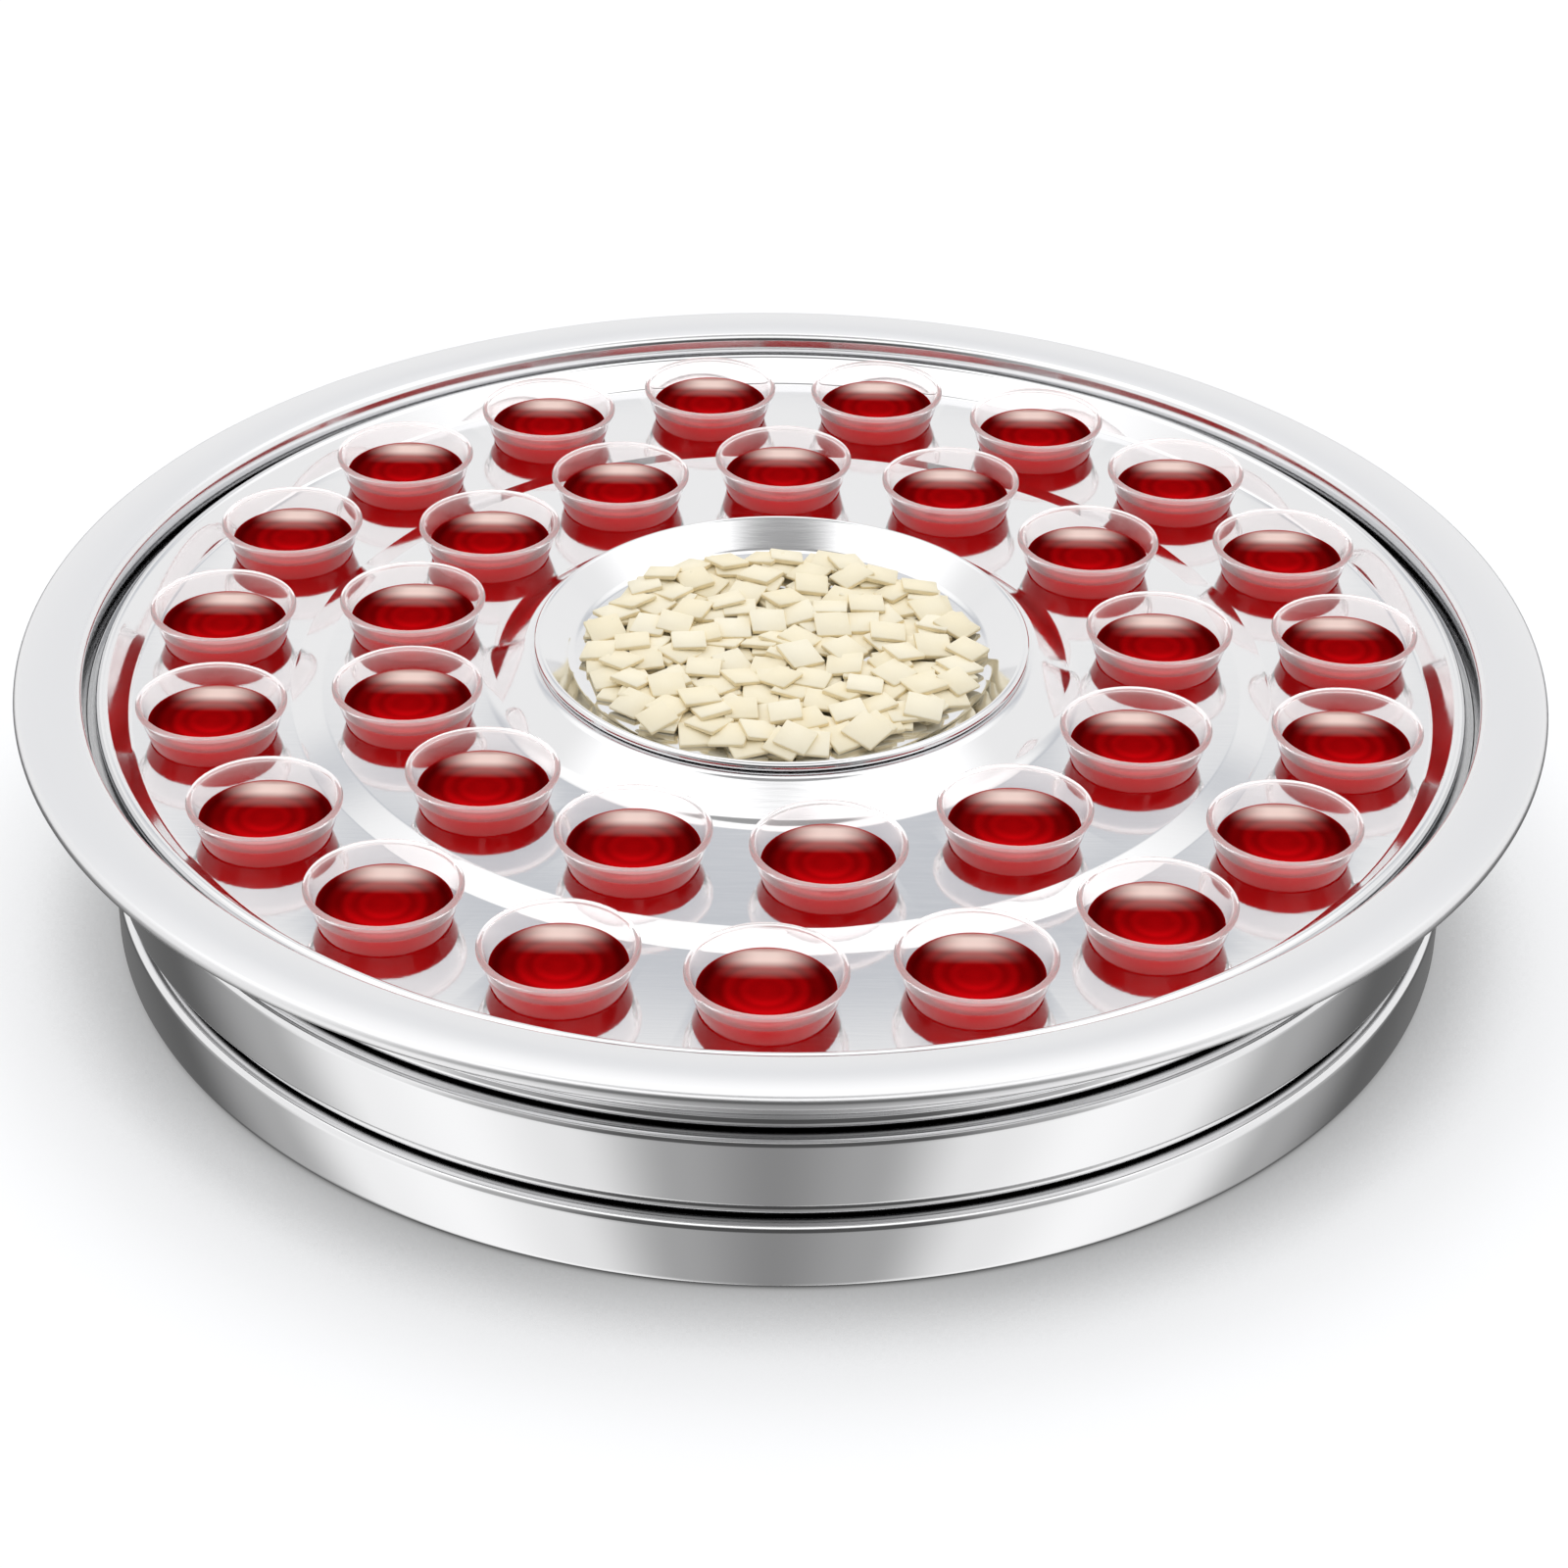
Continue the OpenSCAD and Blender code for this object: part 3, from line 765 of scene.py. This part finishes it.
class TRAY_OT_cups(bpy.types.Operator):
    """Clear cups with a flared, beaded lip"""

    bl_idname = "tray.cups"
    bl_label = "Cups"

    def execute(self, context):
        plastic = shared("clear_polystyrene", clear_plastic, linear(context.scene.tray_colours.cup))
        wall = context.scene.tray_sizes.cup_wall / MM
        corners = [
            (0, -CUP_H, 0),
            (CUP_FOOT_R, -CUP_H, FOOT_ROUND),
            (CUP_NECK_R, -FLARE_H, NECK_ROUND),
            (CUP_R - OUT_CLEAR, -CLEAR_DEPTH, 0),
            (CUP_R - OUT_CLOUDED, -CLOUDED_DEPTH, 0),
            (CUP_R - OUT_LIP, -LIP_DEPTH, LIP_CREASE),
            (CUP_R, -LIP_DEPTH, LIP_ROUND_LOW),
            (CUP_R, 0, LIP_ROUND_OUT),
            (CUP_R - IN_LIP, 0, LIP_ROUND_IN),
            (CUP_R - IN_CLOUDED, -CLOUDED_DEPTH, 0),
            (CUP_R - IN_CLEAR, -CLEAR_DEPTH, 0),
            (CUP_NECK_R - wall, -FLARE_H, NECK_ROUND_IN),
            (CUP_FOOT_R - wall, -CUP_H + wall, FOOT_ROUND_IN),
            (0, -CUP_H + wall, 0),
        ]
        shape = spun(corners, CUP_STEPS)
        lip = shape.verts.layers.float.new("lip")
        for v in shape.verts:
            v[lip] = self.milkiness(v.co.z / MM)
        for name, x, y, z in cup_places():
            bm = shape.copy()
            bmesh.ops.translate(bm, verts=bm.verts, vec=(x * MM, y * MM, (z + CUP_PROUD) * MM))
            made = settle(piece(f"cup_{name}_clear", bm, plastic))
            place_piece(made, f"cup_{name}", "clear_cup", f"cup_{name}")
        shape.free()
        return {"FINISHED"}

    def milkiness(self, z):
        """1 on the lip, then a clouded band that fades down the wall."""
        if z > -(LIP_DEPTH + CLOUDED_DEPTH) / 2:
            return 1.0
        return CLOUDED * max(0.0, min(1.0, (CLEAR_DEPTH + z) / (CLEAR_DEPTH - CLOUDED_DEPTH)))


class TRAY_OT_drink(bpy.types.Operator):
    """Red drink in every cup"""

    bl_idname = "tray.drink"
    bl_label = "Drink"

    def execute(self, context):
        juice = shared("grape_juice", red_drink, linear(context.scene.tray_colours.drink))
        level = -context.scene.tray_sizes.drink_drop / MM
        wall = context.scene.tray_sizes.cup_wall / MM
        neck_r = CUP_NECK_R - wall
        brim_r = neck_r + (CUP_R - IN_LIP - neck_r) * (FLARE_H + level + CLIMB) / FLARE_H
        corners = [
            (0, -CUP_H + wall - SOAK, 0),
            (CUP_FOOT_R - wall + SOAK, -CUP_H + wall - SOAK, FOOT_ROUND_IN),
            (neck_r + SOAK, -FLARE_H, NECK_ROUND_IN),
            (brim_r + SOAK, level + CLIMB, 0),
            (brim_r - CLIMB, level, CLIMB_ROUND),
            (0, level, 0),
        ]
        shape = spun(corners, CUP_STEPS)
        self.mark(shape, brim_r, level)
        for name, x, y, z in cup_places():
            bm = shape.copy()
            bmesh.ops.translate(bm, verts=bm.verts, vec=(x * MM, y * MM, (z + CUP_PROUD) * MM))
            made = settle(piece(f"drink_{name}", bm, juice))
            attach(made, f"cup_{name}")
        shape.free()
        return {"FINISHED"}

    def mark(self, shape, brim_r, level):
        """Sets each point's reach from the middle and its spot: across, along and 1 on the surface."""
        reach = shape.verts.layers.float.new("reach")
        spot = shape.verts.layers.float_vector.new("spot")
        for v in shape.verts:
            x, y, z = v.co / MM
            far = math.hypot(x, y)
            surface = far < brim_r and z > level - SURFACE_SLACK
            v[reach] = min(1.0, far / brim_r)
            v[spot] = (x / brim_r, y / brim_r, 1.0 if surface else 0.0)


class BreadHeap:
    """Height map of the dish, on which squares come to rest one by one. Sizes are in millimetres."""

    CELL = 0.5
    TRIES = 7
    # Share of a square's footprint that may sink into the squares below
    BITE = 0.4
    STEEPEST = math.tan(math.radians(15))
    FLOOR_GAP, MAP_MARGIN = 1.5, 8
    # How far a turned square's corners reach, as a share of its side
    CORNER_SHARE = 0.55
    # Places along a side where a square feels for its rest, and cells of the map that it fills
    FEELERS, FILL = 7, 1.6

    def __init__(self, seed):
        self.draw = random.Random(seed)
        self.reach = DISH_FLOOR_R - self.FLOOR_GAP
        self.count = int(2 * (self.reach + self.MAP_MARGIN) / self.CELL)
        self.heights = [[DISH_FLOOR_Z] * self.count for _ in range(self.count)]

    def cell(self, x, y):
        """Row and column of the height map at a place."""
        half = self.count / 2
        column = min(self.count - 1, max(0, int(x / self.CELL + half)))
        row = min(self.count - 1, max(0, int(y / self.CELL + half)))
        return row, column

    def footprint(self, x, y, turn, side, steps):
        """Places spread over a square."""
        c, s = math.cos(turn), math.sin(turn)
        for i in range(steps):
            for j in range(steps):
                u, v = (i / (steps - 1) - 0.5) * side, (j / (steps - 1) - 0.5) * side
                yield u, v, x + u * c - v * s, y + u * s + v * c

    def spot(self, side):
        """A resting place for one square, (height, x, y, turn, lean): it leans on what lies under it."""
        far = (self.reach - self.CORNER_SHARE * side) * math.sqrt(self.draw.random())
        angle = self.draw.uniform(0, 2 * math.pi)
        x, y, turn = far * math.cos(angle), far * math.sin(angle), self.draw.uniform(0, math.pi)
        found = []
        for u, v, px, py in self.footprint(x, y, turn, side, self.FEELERS):
            row, column = self.cell(px, py)
            found.append((u, v, self.heights[row][column]))
        mean = sum(f[2] for f in found) / len(found)
        spread = sum(f[0] ** 2 for f in found)
        lean_u = sum(f[0] * (f[2] - mean) for f in found) / spread
        lean_v = sum(f[1] * (f[2] - mean) for f in found) / spread
        ease = min(1, self.STEEPEST / max(1e-9, math.hypot(lean_u, lean_v)))
        lean_u, lean_v = lean_u * ease, lean_v * ease
        over = sorted(f[2] - lean_u * f[0] - lean_v * f[1] for f in found)
        return over[-1 - int(self.BITE * len(over))], x, y, turn, (lean_u, lean_v)

    def drop(self, side, thick):
        """The lowest of a few resting places. Raises the height map there."""
        z, x, y, turn, lean = min(self.spot(side) for _ in range(self.TRIES))
        for u, v, px, py in self.footprint(x, y, turn, side, int(self.FILL * side / self.CELL)):
            row, column = self.cell(px, py)
            top = z + lean[0] * u + lean[1] * v + thick
            self.heights[row][column] = max(self.heights[row][column], top)
        up = Vector((-lean[0], -lean[1], 1)).normalized()
        along = up.cross(Vector((1, 0, lean[0]))).normalized()
        tilt = Matrix((along.cross(up), along, up)).transposed().to_4x4()
        return Matrix.Translation((x, y, z)) @ Matrix.Rotation(turn, 4, "Z") @ tilt


class TRAY_OT_bread(bpy.types.Operator):
    """Heap of bread squares, dropped one by one onto the dish"""

    bl_idname = "tray.bread"
    bl_label = "Bread"

    # Spread of the sides and thicknesses, as shares, and of the skew and the corners, in millimetres
    SIDES, THICKNESSES = (0.92, 1.07), (0.85, 1.15)
    SKEWS, CORNERS = (-0.05, 0.05), (-0.25, 0.15)
    BROKEN_EDGE = 0.22
    TONES = (0, 0.4)
    CRUST_SHARE, FLAT = 0.75, 0.7

    def execute(self, context):
        sizes, colours = context.scene.tray_sizes, context.scene.tray_colours
        bread = shared("unleavened_bread", unleavened_bread, linear(colours.crumb), linear(colours.crust))
        heap = BreadHeap(sizes.bread_seed)
        bm = bmesh.new()
        tone = bm.verts.layers.float.new("tone")
        edge = bm.faces.layers.float.new("edge")
        for _ in range(sizes.bread_count):
            side = sizes.bread_side / MM * heap.draw.uniform(*self.SIDES)
            thick = sizes.bread_thick / MM * heap.draw.uniform(*self.THICKNESSES)
            place = heap.drop(side, thick)
            self.square(bm, heap.draw, place, side, thick, tone, edge)
        bmesh.ops.recalc_face_normals(bm, faces=bm.faces)
        made = piece("bread_heap", bm, bread)
        made.data.shade_smooth()
        made.data.set_sharp_from_angle(angle=BREAD_SHARP_ANGLE)
        place_piece(made, "bread_dish", "bread", "bread_squares")
        return {"FINISHED"}

    def square(self, bm, draw, place, side, thick, tone, edge):
        """One bread square with slightly uneven corners and broken edges."""
        corners = bmesh.ops.create_cube(bm, size=1)["verts"]
        skew = draw.uniform(*self.SKEWS)
        for v in corners:
            v.co = Vector((
                v.co.x * side + v.co.y * side * skew + math.copysign(draw.uniform(*self.CORNERS), v.co.x),
                v.co.y * side + math.copysign(draw.uniform(*self.CORNERS), v.co.y),
                (v.co.z + 0.5) * thick,
            ))
        edges = list({e for v in corners for e in v.link_edges})
        faces = list({f for v in corners for f in v.link_faces})
        for f in faces:
            f.normal_update()
            f[edge] = 0.0 if abs(f.normal.z) > self.FLAT else self.CRUST_SHARE
        broken = bmesh.ops.bevel(
            bm, geom=edges, offset=self.BROKEN_EDGE, offset_type="OFFSET", affect="EDGES", segments=1,
            profile=0.5, material=-1,
        )
        grown = {v for f in broken["faces"] + faces if f.is_valid for v in f.verts}
        shade = draw.uniform(*self.TONES)
        for v in grown:
            v[tone] = shade
        bmesh.ops.transform(bm, verts=list(grown), matrix=Matrix.Scale(MM, 4) @ place)


class TRAY_PT_pieces(bpy.types.Panel):
    """Pieces of the tray and their settings"""

    bl_idname = "TRAY_PT_pieces"
    bl_label = "Cup Tray"
    bl_space_type = "VIEW_3D"
    bl_region_type = "UI"
    bl_category = "Tray"

    def draw(self, context):
        for group in (context.scene.tray_sizes, context.scene.tray_colours):
            box = self.layout.box()
            for name in group.__annotations__:
                box.prop(group, name)
        for step in STEPS:
            self.layout.operator(step.bl_idname)


STEPS = (
    TRAY_OT_stage, TRAY_OT_base_pan, TRAY_OT_stacking_ring, TRAY_OT_tray_pan, TRAY_OT_cup_plate,
    TRAY_OT_bread_dish, TRAY_OT_bread, TRAY_OT_cups, TRAY_OT_drink,
)
CLASSES = (TraySizes, TrayColours, *STEPS, TRAY_PT_pieces)


def register():
    for kind in CLASSES:
        bpy.utils.register_class(kind)
    bpy.types.Scene.tray_sizes = bpy.props.PointerProperty(type=TraySizes)
    bpy.types.Scene.tray_colours = bpy.props.PointerProperty(type=TrayColours)


def unregister():
    del bpy.types.Scene.tray_colours
    del bpy.types.Scene.tray_sizes
    for kind in reversed(CLASSES):
        bpy.utils.unregister_class(kind)


def main():
    register()
    bpy.ops.tray.stage()
    bpy.ops.tray.base_pan()
    bpy.ops.tray.stacking_ring()
    bpy.ops.tray.tray_pan()
    bpy.ops.tray.cup_plate()
    bpy.ops.tray.bread_dish()
    bpy.ops.tray.bread()
    bpy.ops.tray.cups()
    bpy.ops.tray.drink()


if __name__ == "__main__":
    main()
